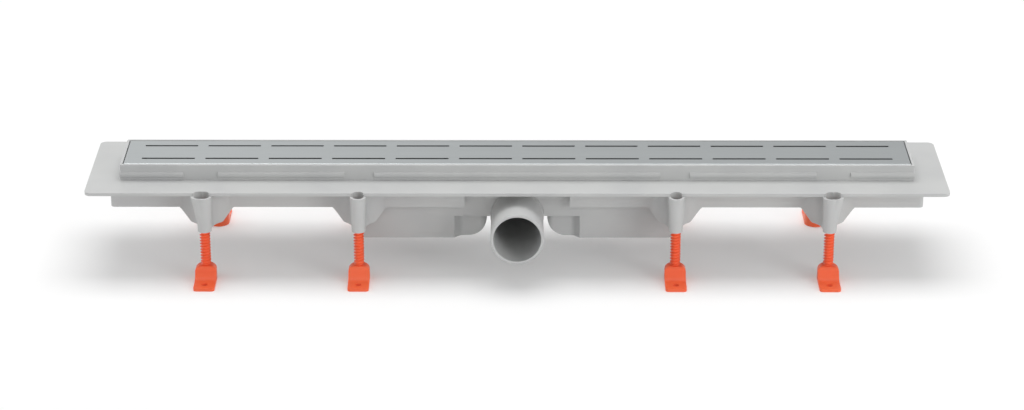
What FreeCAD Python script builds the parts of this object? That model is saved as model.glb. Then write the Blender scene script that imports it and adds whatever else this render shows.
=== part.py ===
import FreeCAD, Part
import math
import os

import Sketcher

# Shower channel drain on eight levelling feet, in millimetres.
# The origin is on the floor, below the middle of the channel: +X runs along the channel, the outlet
# points to -Y and +Z is up.

# name, value, what it is
DIMENSIONS = [
    ("flange_end", 30.5, "flange beyond the collar, at the channel's ends"),
    ("flange_side", 32.5, "flange beyond the collar, at its long sides"),
    ("flange_thickness", 3, "flange plate"),
    ("flange_top", 87, "height of the flange's upper face above the floor"),
    ("flange_corner", 6, "corner radius of the flange"),
    ("collar_length", 755, "raised collar, outside, along X"),
    ("collar_width", 65, "raised collar, outside, along Y"),
    ("collar_height", 15.5, "collar above the flange"),
    ("collar_corner", 1.5, "upright corner radius of the collar"),
    ("rim_round", 0.6, "rounding of the collar's upper outer edge"),
    ("wall", 2.5, "wall of the mouldings"),
    ("ledge_depth", 8, "cover ledge below the rim"),
    ("ledge_width", 3, "cover ledge, inwards from the wall"),
    ("ledge_thickness", 2.5, "cover ledge, at its edge"),
    ("bead_low", 2.2, "lower edge of the bead above the flange"),
    ("bead_height", 6.3, "bead on the collar's long faces, along Z"),
    ("bead_depth", 1.5, "how far the bead stands out"),
    ("inner_bead_gap", 14, "gap between two beads, either side of an inner leg"),
    ("outer_bead_gap_in", 10.9, "gap at an outer leg, towards the channel's middle"),
    ("outer_bead_gap_out", 21.6, "gap at an outer leg, towards the channel's end"),
    ("floor_end_depth", 26.5, "trough floor below the rim, at the channel's ends"),
    ("floor_fall", 5, "fall of the trough floor from its end to the trap"),
    ("box_length", 300, "box over the trap, outside, along X"),
    ("box_bottom", 50, "lower edge of the box above the floor"),
    ("apron_margin", 9, "skirt under the flange, outwards from the collar"),
    ("apron_depth", 21, "skirt below the flange plate"),
    ("apron_corner", 4, "upright corner radius of the skirt"),
    ("apron_gap", 100, "gap in the front skirt for the outlet"),
    ("leg_outset", 1, "leg axis beyond the flange's long edge"),
    ("inner_leg", 150, "inner leg axis from the middle, along X"),
    ("outer_leg_inset", 82.1, "outer leg axis from the collar's end, along X"),
    ("socket_bottom", 49.2, "lower end of the leg sockets above the floor"),
    ("socket_top_radius", 7.6, "socket outside, at its top"),
    ("socket_end_radius", 6.5, "socket outside, at its lower end"),
    ("socket_mouth", 4.3, "how far the outer sockets' mouth is stretched outwards"),
    ("socket_mouth_depth", 28, "height over which that mouth narrows to the tube"),
    ("fairing_bottom", 48.4, "lower edge of the fairings above the floor"),
    ("fairing_top_half", 25.5, "half width of a fairing at the skirt's edge"),
    ("fairing_low_half", 15, "half width of a fairing at its lower edge"),
    ("fairing_neck", 6, "half width of a fairing at the socket"),
    ("fairing_sweep", 17.2, "radius of the fairing's sweep from skirt to socket"),
    ("fairing_corner", 4, "corner rounding in the fairing's outline"),
    ("thread_radius", 5, "crest radius of the leg thread"),
    ("thread_clearance", 0.3, "rod to socket bore"),
    ("rod_top", 69, "upper end of the rods above the floor"),
    ("rod_chamfer", 1, "chamfer at the rod's upper end"),
    ("foot_height", 14.5, "boss of the foot"),
    ("foot_width", 20, "foot, along X"),
    ("foot_reach", 31, "toe of the foot from the leg axis"),
    ("foot_plate", 3, "thickness of the toe"),
    ("foot_shoulder", 4.2, "rounding of the boss"),
    ("foot_front", 6.3, "front of the boss from the leg axis"),
    ("foot_sweep", 9, "hollow rounding from boss to toe"),
    ("foot_slope", 3, "how far the front of the boss leans forwards"),
    ("toe_corner", 3, "corner radius of the toe"),
    ("screw_hole", 6, "diameter of the foot's screw hole"),
    ("screw_place", 22, "screw hole from the leg axis"),
    ("journal_radius", 3.2, "neck of the rod in the foot's mouth"),
    ("journal_head", 3.8, "head of the rod snapped into the foot"),
    ("journal_fit", 0.08, "radial running clearance of the neck"),
    ("journal_play", 0.3, "play round the head and below the rod's shoulder"),
    ("neck_length", 3.5, "neck of the rod"),
    ("head_length", 4, "head of the rod"),
    ("bowl_bottom", 27, "underside of the bowls above the floor"),
    ("bowl_inner_end", 29, "bowl's end next to the outlet, from the middle"),
    ("bowl_inset", 1, "bowl set back from the box's long faces"),
    ("bowl_recess", 7, "bowl set back from the box's long faces beside the outlet"),
    ("recess_start", 54, "where the set-back starts to widen"),
    ("recess_end", 60, "where the bowl has its full width"),
    ("bowl_round", 18, "rounding of the bowl's end next to the outlet"),
    ("bowl_foot_round", 4, "rounding of the bowl's outer end"),
    ("bowl_plan_round", 7, "rounding of the bowl's upright corner next to the outlet"),
    ("recess_round", 6, "rounding where the set-back starts and ends"),
    ("bowl_wall", 3, "wall of the bowls"),
    ("plug_clearance", 0.2, "housing's plug to the box's inner wall"),
    ("weir_height", 10, "weirs above the box's lower edge"),
    ("pipe_radius", 25, "outlet spigot, outside"),
    ("pipe_bore", 22.6, "outlet spigot, inside"),
    ("spigot_reach", 23.5, "end of the spigot beyond the flange's long edge"),
    ("shoulder_outset", 1, "shoulder behind the spigot, outwards from the collar"),
    ("pipe_shoulder", 0.6, "step from the spigot up to the outlet chamber"),
    ("pipe_chamfer", 0.7, "chamfer at the spigot's outer edge"),
    ("chamber_gap", 4, "closed end of the outlet chamber to the box's inner wall"),
    ("cover_gap", 0.7, "gap all round the cover"),
    ("cover_thickness", 1.5, "sheet of the cover"),
    ("cover_bend", 0.9, "outer bend radius of the cover"),
    ("slot_length", 50.5, "slot, end to end"),
    ("slot_width", 3, "slot"),
    ("slot_pitch", 60.5, "slot to slot in a row"),
    ("slot_end_margin", 7.5, "least sheet beyond the last pitch, at each end of the cover"),
    ("row_spacing", 32, "between the two rows of slots"),
    ("insert_length", 168, "trap insert, along X"),
    ("insert_wall", 2, "trap insert's wall"),
    ("insert_top", 78, "upper face of the insert above the floor"),
    ("baffle_bottom", 36, "lower edge of the insert's baffles above the floor"),
    ("seal_thickness", 1, "rubber seal beside the baffles"),
    ("seal_clearance", 0.3, "seal to the moulded walls"),
    ("seal_lip", 0.5, "seal overhang on each side of the insert's wall"),
    ("grip_width", 34, "finger grip, outside, along Y"),
    ("grip_height", 15, "finger grip above the insert"),
    ("grip_thickness", 4, "finger grip, along X and in section"),
    ("insert_post", 4, "square posts that stand on the weirs"),
]

doc = FreeCAD.newDocument("channel_drain")
sheet = doc.addObject("Spreadsheet::Sheet", "Dims")
for row, (alias, value, meaning) in enumerate(DIMENSIONS, start=1):
    sheet.set(f"A{row}", meaning)
    sheet.set(f"B{row}", str(value))
    sheet.setAlias(f"B{row}", alias)
doc.recompute()


def dims(expression):
    """Return the expression with each dimension's name pointing at its cell."""
    for alias in sorted((entry[0] for entry in DIMENSIONS), key=len, reverse=True):
        expression = expression.replace(f"<{alias}>", f"Dims.{alias}")
    return expression


# Heights and half sizes that several pieces share, as expressions of the cells.
FLANGE_BOTTOM = "(<flange_top> - <flange_thickness>)"
RIM = "(<flange_top> + <collar_height>)"
LEDGE = f"({RIM} - <ledge_depth>)"
FLOOR_END = f"({RIM} - <floor_end_depth>)"
FLOOR_TRAP = f"({FLOOR_END} - <floor_fall>)"
APRON_BOTTOM = f"({FLANGE_BOTTOM} - <apron_depth>)"
COLLAR_X = "(<collar_length> / 2)"
COLLAR_Y = "(<collar_width> / 2)"
INSIDE_X = f"({COLLAR_X} - <wall>)"
INSIDE_Y = f"({COLLAR_Y} - <wall>)"
BOX_X = "(<box_length> / 2)"
FLANGE_X = f"({COLLAR_X} + <flange_end>)"
FLANGE_Y = f"({COLLAR_Y} + <flange_side>)"
LEG_ROW = f"({FLANGE_Y} + <leg_outset>)"
OUTER_LEG = f"({COLLAR_X} - <outer_leg_inset>)"
APRON_X = f"({COLLAR_X} + <apron_margin>)"
APRON_Y = f"({COLLAR_Y} + <apron_margin>)"
APRON_INSIDE_Y = f"({APRON_Y} - <wall>)"
SOCKET_BORE = "(<thread_radius> + <thread_clearance>)"
BOWL_Y = f"({COLLAR_Y} - <bowl_inset>)"
BOWL_NECK_Y = f"({COLLAR_Y} - <bowl_recess>)"
BOWL_INSIDE_Y = f"({BOWL_Y} - <bowl_wall>)"
BOWL_NECK_INSIDE_Y = f"({BOWL_NECK_Y} - <bowl_wall>)"
PLUG_Y = f"({INSIDE_Y} - <plug_clearance>)"
PLUG_X = f"({BOX_X} - <wall> - <plug_clearance>)"
PLUG_TOP = "(<box_bottom> + <wall>)"
CHAMBER = "(<pipe_radius> + <pipe_shoulder>)"
CHAMBER_END = f"({INSIDE_Y} - <chamber_gap>)"
PIPE_ROOT = f"({COLLAR_Y} + <shoulder_outset>)"
PIPE_MOUTH = f"({FLANGE_Y} + <spigot_reach>)"
BOWL_OUTSIDE_END = f"({BOX_X} - <bowl_inset>)"
INSERT_X = "(<insert_length> / 2)"
INSERT_Y = f"({BOWL_INSIDE_Y} - <seal_clearance> - <seal_thickness>)"
WEIR_TOP = "(<box_bottom> + <weir_height>)"
COVER_X = f"({INSIDE_X} - <cover_gap>)"
COVER_Y = f"({INSIDE_Y} - <cover_gap>)"
SLOT_COUNT = f"floor((2 * {COVER_X} - 2 * <slot_end_margin>) / <slot_pitch>)"


def bind(feature, **expressions):
    """Bind properties of a feature to expressions of the sheet's cells."""
    for name, expression in expressions.items():
        feature.setExpression(name.replace("__", "."), dims(expression))


def new_body(name):
    """Start the solid of one piece."""
    body = doc.addObject("PartDesign::Body", name)
    body.Label = name
    return body


def sketch_on(body, name, role, offset="0"):
    """Add a sketch to one of the body's own planes, moved along the plane's normal."""
    sketch = body.newObject("Sketcher::SketchObject", name)
    plane = next(feature for feature in body.Origin.OriginFeatures if feature.Role == role)
    sketch.AttachmentSupport = [(plane, "")]
    sketch.MapMode = "FlatFace"
    bind(sketch, AttachmentOffset__Base__z=offset)
    return sketch


def numbers(sketch, expressions):
    """Work out expressions of the sheet's cells."""
    values = [sketch.evalExpression(dims(expression)) for expression in expressions]
    return [float(getattr(value, "Value", value)) for value in values]


def tie(sketch, kind, arguments, expression):
    """Add a dimension to a sketch and bind it to an expression."""
    value = numbers(sketch, (expression,))[0]
    index = sketch.addConstraint(Sketcher.Constraint(kind, *arguments, value))
    sketch.setExpression(f"Constraints[{index}]", dims(expression))


def place_point(sketch, geometry, point, across, up):
    """Fix a point of a sketch by its two coordinates."""
    tie(sketch, "DistanceX", (-1, 1, geometry, point), across)
    tie(sketch, "DistanceY", (-1, 1, geometry, point), up)


def outline(sketch, corners):
    """Draw a closed outline through corners (x, y) or (x, y, radius), all of them expressions."""
    spots = [numbers(sketch, corner) for corner in corners]
    count = len(spots)
    points = [FreeCAD.Vector(spot[0], spot[1], 0) for spot in spots]
    starts = list(points)
    ends = list(points)
    for i, spot in enumerate(spots):
        if len(spot) == 3:
            before = (points[i - 1] - points[i]).normalize()
            after = (points[(i + 1) % count] - points[i]).normalize()
            reach = spot[2] / math.tan(before.getAngle(after) / 2)
            ends[i] = points[i] + before * reach
            starts[i] = points[i] + after * reach
    lines = []
    for i in range(count):
        segment = Part.LineSegment(starts[i], ends[(i + 1) % count])
        lines.append(sketch.addGeometry(segment, False))
    for i, spot in enumerate(spots):
        before = lines[i - 1]
        after = lines[i]
        if len(spot) == 2:
            sketch.addConstraint(Sketcher.Constraint("Coincident", before, 2, after, 1))
            place_point(sketch, after, 1, *corners[i][:2])
            continue
        round_corner(sketch, before, after, (ends[i], points[i], starts[i]), corners[i], spot[2])


def add_arc(sketch, centre, enter, leave):
    """Add the shorter arc between two points; return it and the end of it that lies at the first point."""
    start = math.atan2(enter.y - centre.y, enter.x - centre.x)
    finish = math.atan2(leave.y - centre.y, leave.x - centre.x)
    ring = Part.Circle(centre, FreeCAD.Vector(0, 0, 1), centre.distanceToPoint(enter))
    if (finish - start) % (2 * math.pi) <= math.pi + 1e-9:
        return sketch.addGeometry(Part.ArcOfCircle(ring, start, finish), False), 1
    return sketch.addGeometry(Part.ArcOfCircle(ring, finish, start), False), 2


def round_corner(sketch, before, after, bend, corner, radius):
    """Join two lines of an outline by an arc that is tangent to both."""
    enter, tip, leave = bend
    middle = (enter + leave) * 0.5
    half = (enter - tip).getAngle(middle - tip)
    centre = tip + (middle - tip).normalize() * (radius / math.sin(half))
    index, first = add_arc(sketch, centre, enter, leave)
    sketch.addConstraint(Sketcher.Constraint("Tangent", before, 2, index, first))
    sketch.addConstraint(Sketcher.Constraint("Tangent", index, 3 - first, after, 1))
    tie(sketch, "Radius", (index,), corner[2])
    mark = sketch.addGeometry(Part.Point(tip), True)
    place_point(sketch, mark, 1, corner[0], corner[1])
    sketch.addConstraint(Sketcher.Constraint("PointOnObject", mark, 1, before))
    sketch.addConstraint(Sketcher.Constraint("PointOnObject", mark, 1, after))


def rectangle(sketch, low_x, low_y, high_x, high_y):
    """Draw a rectangle between two corners."""
    outline(sketch, [(low_x, low_y), (high_x, low_y), (high_x, high_y), (low_x, high_y)])


def centred(sketch, half_x, half_y, radius=None):
    """Draw a rectangle about the sketch's origin, with rounded corners where a radius is given."""
    corners = [(f"-{half_x}", f"-{half_y}"), (half_x, f"-{half_y}"), (half_x, half_y), (f"-{half_x}", half_y)]
    if radius:
        corners = [(across, up, radius) for across, up in corners]
    outline(sketch, corners)


def circle(sketch, across, up, radius):
    """Draw a circle as two half rounds that join above and below its centre."""
    x, y, size = numbers(sketch, (across, up, radius))
    centre = FreeCAD.Vector(x, y, 0)
    top = FreeCAD.Vector(x, y + size, 0)
    bottom = FreeCAD.Vector(x, y - size, 0)
    left, _ = add_arc(sketch, centre, top, bottom)
    right, _ = add_arc(sketch, centre, bottom, top)
    place_point(sketch, left, 3, across, up)
    tie(sketch, "Radius", (left,), radius)
    sketch.addConstraint(Sketcher.Constraint("Coincident", right, 3, left, 3))
    sketch.addConstraint(Sketcher.Constraint("Coincident", left, 1, right, 2))
    sketch.addConstraint(Sketcher.Constraint("Coincident", left, 2, right, 1))
    sketch.addConstraint(Sketcher.Constraint("Vertical", left, 1, left, 2))


def oblong(sketch, low_x, high_x, up, radius):
    """Draw a slot along X whose end arcs are centred at low_x and high_x."""
    low, high, level, size = numbers(sketch, (low_x, high_x, up, radius))
    corners = [FreeCAD.Vector(x, y, 0) for x, y in ((low, level + size), (low, level - size),
                                                    (high, level - size), (high, level + size))]
    left, _ = add_arc(sketch, FreeCAD.Vector(low, level, 0), corners[0], corners[1])
    right, _ = add_arc(sketch, FreeCAD.Vector(high, level, 0), corners[2], corners[3])
    bottom = sketch.addGeometry(Part.LineSegment(corners[1], corners[2]), False)
    top = sketch.addGeometry(Part.LineSegment(corners[3], corners[0]), False)
    for arc, arc_end, line, line_end in ((left, 2, bottom, 1), (right, 1, bottom, 2),
                                         (right, 2, top, 1), (left, 1, top, 2)):
        sketch.addConstraint(Sketcher.Constraint("Tangent", arc, arc_end, line, line_end))
    place_point(sketch, left, 3, low_x, up)
    place_point(sketch, right, 3, high_x, up)
    tie(sketch, "Radius", (left,), radius)
    sketch.addConstraint(Sketcher.Constraint("Equal", left, right))


SIDES = (("front", -1), ("rear", 1))
PLACES = (("outer_left", -1, OUTER_LEG), ("inner_left", -1, "<inner_leg>"),
          ("inner_right", 1, "<inner_leg>"), ("outer_right", 1, OUTER_LEG))


def pad(body, name, sketch, length, both_ways=False, reverse=False, taper="0"):
    """Add material along the sketch's normal."""
    feature = body.newObject("PartDesign::Pad", name)
    return extrude(feature, sketch, length, both_ways, reverse, taper)


def pocket(body, name, sketch, length, both_ways=False, reverse=False, taper="0"):
    """Cut material against the sketch's normal, and check that the cut takes something away."""
    doc.recompute()
    before = body.Shape.Volume
    feature = body.newObject("PartDesign::Pocket", name)
    extrude(feature, sketch, length, both_ways, reverse, taper)
    doc.recompute()
    if body.Shape.Volume > before - 0.01:
        raise RuntimeError(f"{body.Label}: {name} cuts nothing")
    return feature


def extrude(feature, sketch, length, both_ways, reverse, taper):
    """Set up a pad or a pocket."""
    feature.Profile = sketch
    feature.SideType = "Symmetric" if both_ways else "One side"
    feature.Reversed = reverse
    bind(feature, Length=length, TaperAngle=taper)
    return feature


def turned(body, name, sketch):
    """Turn a sketch on the XZ plane about the sketch's upright axis."""
    feature = body.newObject("PartDesign::Revolution", name)
    feature.Profile = sketch
    feature.ReferenceAxis = (sketch, ["V_Axis"])
    feature.Angle = 360
    return feature


def grooved(body, name, sketch):
    """Cut the turned shape of a sketch on the XZ plane, and check that it takes something away."""
    doc.recompute()
    before = body.Shape.Volume
    feature = body.newObject("PartDesign::Groove", name)
    feature.Profile = sketch
    feature.ReferenceAxis = (sketch, ["V_Axis"])
    feature.Angle = 360
    doc.recompute()
    if body.Shape.Volume > before - 0.01:
        raise RuntimeError(f"{body.Label}: {name} cuts nothing")
    return feature


def edges_where(feature, wanted):
    """Name the edges of a feature whose middle point and direction pass a test."""
    names = []
    for number, edge in enumerate(feature.Shape.Edges, start=1):
        middle = edge.valueAt((edge.FirstParameter + edge.LastParameter) / 2)
        tangent = edge.tangentAt((edge.FirstParameter + edge.LastParameter) / 2)
        if wanted(edge, middle, tangent):
            names.append(f"Edge{number}")
    if not names:
        raise RuntimeError(f"{feature.Label}: no edge to work on")
    return names


def rounded(body, name, base, wanted, radius):
    """Round the edges of the base feature that pass a test."""
    doc.recompute()
    feature = body.newObject("PartDesign::Fillet", name)
    feature.Base = (base, edges_where(base, wanted))
    bind(feature, Radius=radius)
    doc.recompute()
    return feature


def mirror_plane(body, role):
    """Find one of the body's own planes."""
    return next(feature for feature in body.Origin.OriginFeatures if feature.Role == role)


def mirrored_both_ways(body, name, features):
    """Repeat features on the other side and at the other end of the channel."""
    transform = body.newObject("PartDesign::MultiTransform", name)
    transform.Originals = features
    steps = []
    for role in ("YZ_Plane", "XZ_Plane"):
        step = body.newObject("PartDesign::Mirrored", f"{name}_{role[:2].lower()}")
        step.MirrorPlane = (mirror_plane(body, role), [""])
        steps.append(step)
    transform.Transformations = steps
    body.Tip = transform
    return transform


def add_flange_and_apron(body):
    """Flange plate with the hollow skirt below it."""
    plate = sketch_on(body, "flange_outline", "XY_Plane", FLANGE_BOTTOM)
    centred(plate, FLANGE_X, FLANGE_Y, "<flange_corner>")
    pad(body, "flange", plate, "<flange_thickness>")
    skirt = sketch_on(body, "apron_outline", "XY_Plane", FLANGE_BOTTOM)
    centred(skirt, APRON_X, APRON_Y, "<apron_corner>")
    pad(body, "apron", skirt, "<apron_depth>", reverse=True)
    hollow = sketch_on(body, "apron_hollow_outline", "XY_Plane", APRON_BOTTOM)
    centred(hollow, f"({APRON_X} - <wall>)", APRON_INSIDE_Y, "(<apron_corner> - <wall>)")
    pocket(body, "apron_hollow", hollow, "<apron_depth>", reverse=True)


def add_trough(body):
    """Collar, trough with falls towards the middle, and the box over the trap."""
    collar = sketch_on(body, "collar_outline", "XY_Plane", FLANGE_BOTTOM)
    centred(collar, COLLAR_X, COLLAR_Y, "<collar_corner>")
    pad(body, "collar", collar, "(<flange_thickness> + <collar_height>)")
    shell = sketch_on(body, "trough_side_view", "XZ_Plane")
    floor_end = f"({FLOOR_END} - <wall>)"
    floor_trap = f"({FLOOR_TRAP} - <wall>)"
    top = "(<flange_top> - <flange_thickness> / 2)"
    outline(shell, [(f"-{COLLAR_X}", top), (f"-{COLLAR_X}", floor_end), (f"-{BOX_X}", floor_trap),
                    (f"-{BOX_X}", "<box_bottom>"), (BOX_X, "<box_bottom>"), (BOX_X, floor_trap),
                    (COLLAR_X, floor_end), (COLLAR_X, top)])
    pad(body, "trough", shell, "<collar_width>", both_ways=True)
    hollow = sketch_on(body, "trough_inside_view", "XZ_Plane")
    box_inside = f"({BOX_X} - <wall>)"
    above = f"({RIM} + 5)"
    below = "(<box_bottom> - 5)"
    outline(hollow, [(f"-{INSIDE_X}", above), (f"-{INSIDE_X}", FLOOR_END), (f"-{box_inside}", FLOOR_TRAP),
                     (f"-{box_inside}", below), (box_inside, below), (box_inside, FLOOR_TRAP),
                     (INSIDE_X, FLOOR_END), (INSIDE_X, above)])
    pocket(body, "trough_hollow", hollow, f"(2 * {INSIDE_Y})", both_ways=True)


def add_ledge(body):
    """Ledge that carries the cover, with a sloping underside."""
    ledge = sketch_on(body, "ledge_outline", "XY_Plane", f"({LEDGE} - <ledge_thickness>)")
    centred(ledge, f"({INSIDE_X} + <wall> / 2)", f"({INSIDE_Y} + <wall> / 2)")
    centred(ledge, f"({INSIDE_X} - <ledge_width>)", f"({INSIDE_Y} - <ledge_width>)")
    return pad(body, "ledge", ledge, "<ledge_thickness>")


def add_beads(body):
    """Raised beads along the collar's two long faces."""
    middle_end = "(<inner_leg> - <inner_bead_gap>)"
    side_start = "(<inner_leg> + <inner_bead_gap>)"
    side_end = f"({OUTER_LEG} - <outer_bead_gap_in>)"
    last_start = f"({OUTER_LEG} + <outer_bead_gap_out>)"
    spans = ((f"-{COLLAR_X}", f"-{last_start}"), (f"-{side_end}", f"-{side_start}"),
             (f"-{middle_end}", middle_end), (side_start, side_end), (last_start, COLLAR_X))
    level = "(<flange_top> + <bead_low>)"
    radius = "((<bead_height> ^ 2 / 4 + <bead_depth> ^ 2) / (2 * <bead_depth>))"
    for number, (start, end) in enumerate(spans, start=1):
        section = sketch_on(body, f"bead_section_{number}", "YZ_Plane", start)
        bead_section(section, level, radius)
        pad(body, f"bead_{number}", section, f"({end} - ({start}))")


def bead_section(sketch, level, radius):
    """Draw the bead's round section on both long faces of the collar."""
    for sign in (-1, 1):
        face, low, high, depth, wall = numbers(sketch, (COLLAR_Y, level, f"({level} + <bead_height>)",
                                                        "<bead_depth>", "<wall>"))
        vector = FreeCAD.Vector
        size = (high - low) ** 2 / 8 / depth + depth / 2
        arc, low_end = add_arc(sketch, vector(sign * (face + depth - size), (low + high) / 2, 0),
                               vector(sign * face, low, 0), vector(sign * face, high, 0))
        inner = sign * (face - wall / 2)
        spots = [vector(sign * face, low, 0), vector(inner, low, 0), vector(inner, high, 0),
                 vector(sign * face, high, 0)]
        lines = [sketch.addGeometry(Part.LineSegment(spots[i], spots[i + 1]), False) for i in range(3)]
        prefix = "-" if sign < 0 else ""
        places = ((f"{prefix}{COLLAR_Y}", level), (f"{prefix}({COLLAR_Y} - <wall> / 2)", level),
                  (f"{prefix}({COLLAR_Y} - <wall> / 2)", f"({level} + <bead_height>)"))
        for line, place in zip(lines, places):
            place_point(sketch, line, 1, *place)
        place_point(sketch, lines[2], 2, f"{prefix}{COLLAR_Y}", f"({level} + <bead_height>)")
        sketch.addConstraint(Sketcher.Constraint("Coincident", lines[0], 2, lines[1], 1))
        sketch.addConstraint(Sketcher.Constraint("Coincident", lines[1], 2, lines[2], 1))
        sketch.addConstraint(Sketcher.Constraint("Coincident", arc, low_end, lines[0], 1))
        sketch.addConstraint(Sketcher.Constraint("Coincident", arc, 3 - low_end, lines[2], 2))
        tie(sketch, "Radius", (arc,), radius)


def add_sockets(body, name, leg, stretched):
    """Leg socket with its fairing, drawn at the front left and mirrored to the other three places."""
    axis = f"-{leg}"
    row = f"-{LEG_ROW}"
    parts = []
    skin = sketch_on(body, f"{name}_fairing_plan", "XY_Plane", "<fairing_bottom>")
    sweep = "<fairing_sweep>"
    outline(skin, [
        (f"({axis} - <fairing_top_half>)", f"-{APRON_INSIDE_Y}"),
        (f"({axis} - <fairing_top_half>)", f"-{APRON_Y}"),
        (f"({axis} - <fairing_neck>)", f"-{APRON_Y}", sweep),
        (f"({axis} - <fairing_neck>)", row),
        (f"({axis} + <fairing_neck>)", row),
        (f"({axis} + <fairing_neck>)", f"-{APRON_Y}", sweep),
        (f"({axis} + <fairing_top_half>)", f"-{APRON_Y}"),
        (f"({axis} + <fairing_top_half>)", f"-{APRON_INSIDE_Y}")])
    parts.append(pad(body, f"{name}_fairing", skin, f"({FLANGE_BOTTOM} - <fairing_bottom>)"))

    trim = sketch_on(body, f"{name}_fairing_front_view", "XZ_Plane", APRON_INSIDE_Y)
    low = "(<fairing_bottom> - 2)"
    far = "(<fairing_top_half> + <fairing_corner>)"
    outline(trim, [
        (f"({axis} - {far})", low),
        (f"({axis} + {far})", low),
        (f"({axis} + {far})", APRON_BOTTOM),
        (f"({axis} + <fairing_top_half>)", APRON_BOTTOM, "<fairing_corner>"),
        (f"({axis} + <fairing_low_half>)", "<fairing_bottom>", "<fairing_corner>"),
        (f"({axis} - <fairing_low_half>)", "<fairing_bottom>", "<fairing_corner>"),
        (f"({axis} - <fairing_top_half>)", APRON_BOTTOM, "<fairing_corner>"),
        (f"({axis} - {far})", APRON_BOTTOM)])
    parts.append(pocket(body, f"{name}_fairing_trim", trim, f"({LEG_ROW} - {APRON_INSIDE_Y} + 10)",
                        reverse=True))

    core = sketch_on(body, f"{name}_fairing_core_plan", "XY_Plane", "(<fairing_bottom> - 1)")
    core_neck = "(<fairing_neck> - <wall>)"
    core_sweep = "(<fairing_sweep> + <wall>)"
    core_end = f"-({LEG_ROW} - <socket_top_radius> - <wall> / 2)"
    core_half = f"({core_neck} + {core_sweep} + 0.5)"
    behind = f"-({APRON_INSIDE_Y} - 0.1)"
    outline(core, [
        (f"({axis} - {core_half})", behind),
        (f"({axis} - {core_half})", f"-{APRON_INSIDE_Y}"),
        (f"({axis} - {core_neck})", f"-{APRON_INSIDE_Y}", core_sweep),
        (f"({axis} - {core_neck})", core_end),
        (f"({axis} + {core_neck})", core_end),
        (f"({axis} + {core_neck})", f"-{APRON_INSIDE_Y}", core_sweep),
        (f"({axis} + {core_half})", f"-{APRON_INSIDE_Y}"),
        (f"({axis} + {core_half})", behind)])
    parts.append(pocket(body, f"{name}_fairing_core", core, f"({FLANGE_BOTTOM} - <fairing_bottom> + 1)",
                        reverse=True))

    parts.append(add_tube(body, f"{name}_tube", axis, row))
    if stretched:
        parts.extend(add_mouth(body, name, axis))
    bore = sketch_on(body, f"{name}_bore_plan", "XY_Plane", "(<flange_top> + 1)")
    circle(bore, axis, row, SOCKET_BORE)
    parts.append(pocket(body, f"{name}_bore", bore, "(<flange_top> - <socket_bottom> + 2)"))
    if stretched:
        parts.append(add_mouth_hollow(body, name, axis))
    return mirrored_both_ways(body, f"{name}_sockets", parts)


def add_tube(body, name, axis, row):
    """Tapered tube of a leg socket."""
    tube = body.newObject("PartDesign::AdditiveCone", name)
    bind(tube, Radius1="<socket_end_radius>", Radius2="<socket_top_radius>",
         Height=f"({FLANGE_BOTTOM} - <socket_bottom>)", AttachmentOffset__Base__x=axis,
         AttachmentOffset__Base__y=row, AttachmentOffset__Base__z="<socket_bottom>")
    tube.AttachmentSupport = [(mirror_plane(body, "XY_Plane"), "")]
    tube.MapMode = "FlatFace"
    return tube


def leaning(body, kind, name, axis, shift, depth, radius, spare):
    """Turn a round bar that starts low on the socket's axis and leans outwards by shift over depth."""
    section = sketch_on(body, f"{name}_section", "XZ_Plane", LEG_ROW)
    low = f"({FLANGE_BOTTOM} - <socket_mouth_depth>)"
    slant = f"sqrt({shift} ^ 2 + {depth} ^ 2)"
    out, up = f"({shift} / {slant})", f"({depth} / {slant})"
    length = f"({slant} + {spare})"
    top = (f"({axis} - {length} * {out})", f"({low} + {length} * {up})")
    outline(section, [(axis, low), (f"({axis} + {radius} * {up})", f"({low} + {radius} * {out})"),
                      (f"({top[0]} + {radius} * {up})", f"({top[1]} + {radius} * {out})"), top])
    ends = numbers(section, (axis, low, *top))
    spine = section.addGeometry(Part.LineSegment(FreeCAD.Vector(ends[0], ends[1], 0),
                                                 FreeCAD.Vector(ends[2], ends[3], 0)), True)
    place_point(section, spine, 1, axis, low)
    place_point(section, spine, 2, *top)
    bar = body.newObject(f"PartDesign::{kind}", name)
    bar.Profile = section
    bar.ReferenceAxis = (section, ["Axis0"])
    bar.Angle = 360
    doc.recompute()
    return bar


def add_mouth(body, name, axis):
    """Outside of the stretched mouth of an outer socket, level with the tube's upper end."""
    shift = "(<socket_mouth> + <socket_top_radius> - <socket_end_radius>)"
    bar = leaning(body, "Revolution", f"{name}_mouth", axis, shift, "<socket_mouth_depth>",
                  "<socket_end_radius>", "(<flange_thickness> / 2)")
    level = sketch_on(body, f"{name}_mouth_trim_plan", "XY_Plane", FLANGE_BOTTOM)
    far = "(<socket_mouth> + 2 * <socket_top_radius>)"
    rectangle(level, f"({axis} - {far})", f"(-{LEG_ROW} - {far})", f"({axis} + {far})", f"(-{FLANGE_Y})")
    return [bar, pocket(body, f"{name}_mouth_trim", level, "(<flange_thickness> + 1)", reverse=True)]


def add_mouth_hollow(body, name, axis):
    """Inside of the stretched mouth, open to the flange's top."""
    depth = "(<socket_mouth_depth> + <flange_thickness>)"
    return leaning(body, "Groove", f"{name}_mouth_hollow", axis, "<socket_mouth>", depth, SOCKET_BORE, "5")


def add_outlet_gap(body):
    """Gap in the front skirt and the half-round notch in the box for the outlet."""
    gap = sketch_on(body, "apron_gap_outline", "XY_Plane", APRON_BOTTOM)
    rectangle(gap, "(-<apron_gap> / 2)", f"(-{APRON_Y} - 5)", "(<apron_gap> / 2)", f"(-{COLLAR_Y})")
    pocket(body, "apron_gap_cut", gap, "<apron_depth>", reverse=True)
    notch = sketch_on(body, "outlet_notch_outline", "XZ_Plane", f"({INSIDE_Y} - 2)")
    circle(notch, "0", "<box_bottom>", f"({CHAMBER} + <plug_clearance>)")
    pocket(body, "outlet_notch", notch, "(<wall> + 4)", reverse=True)


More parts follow.
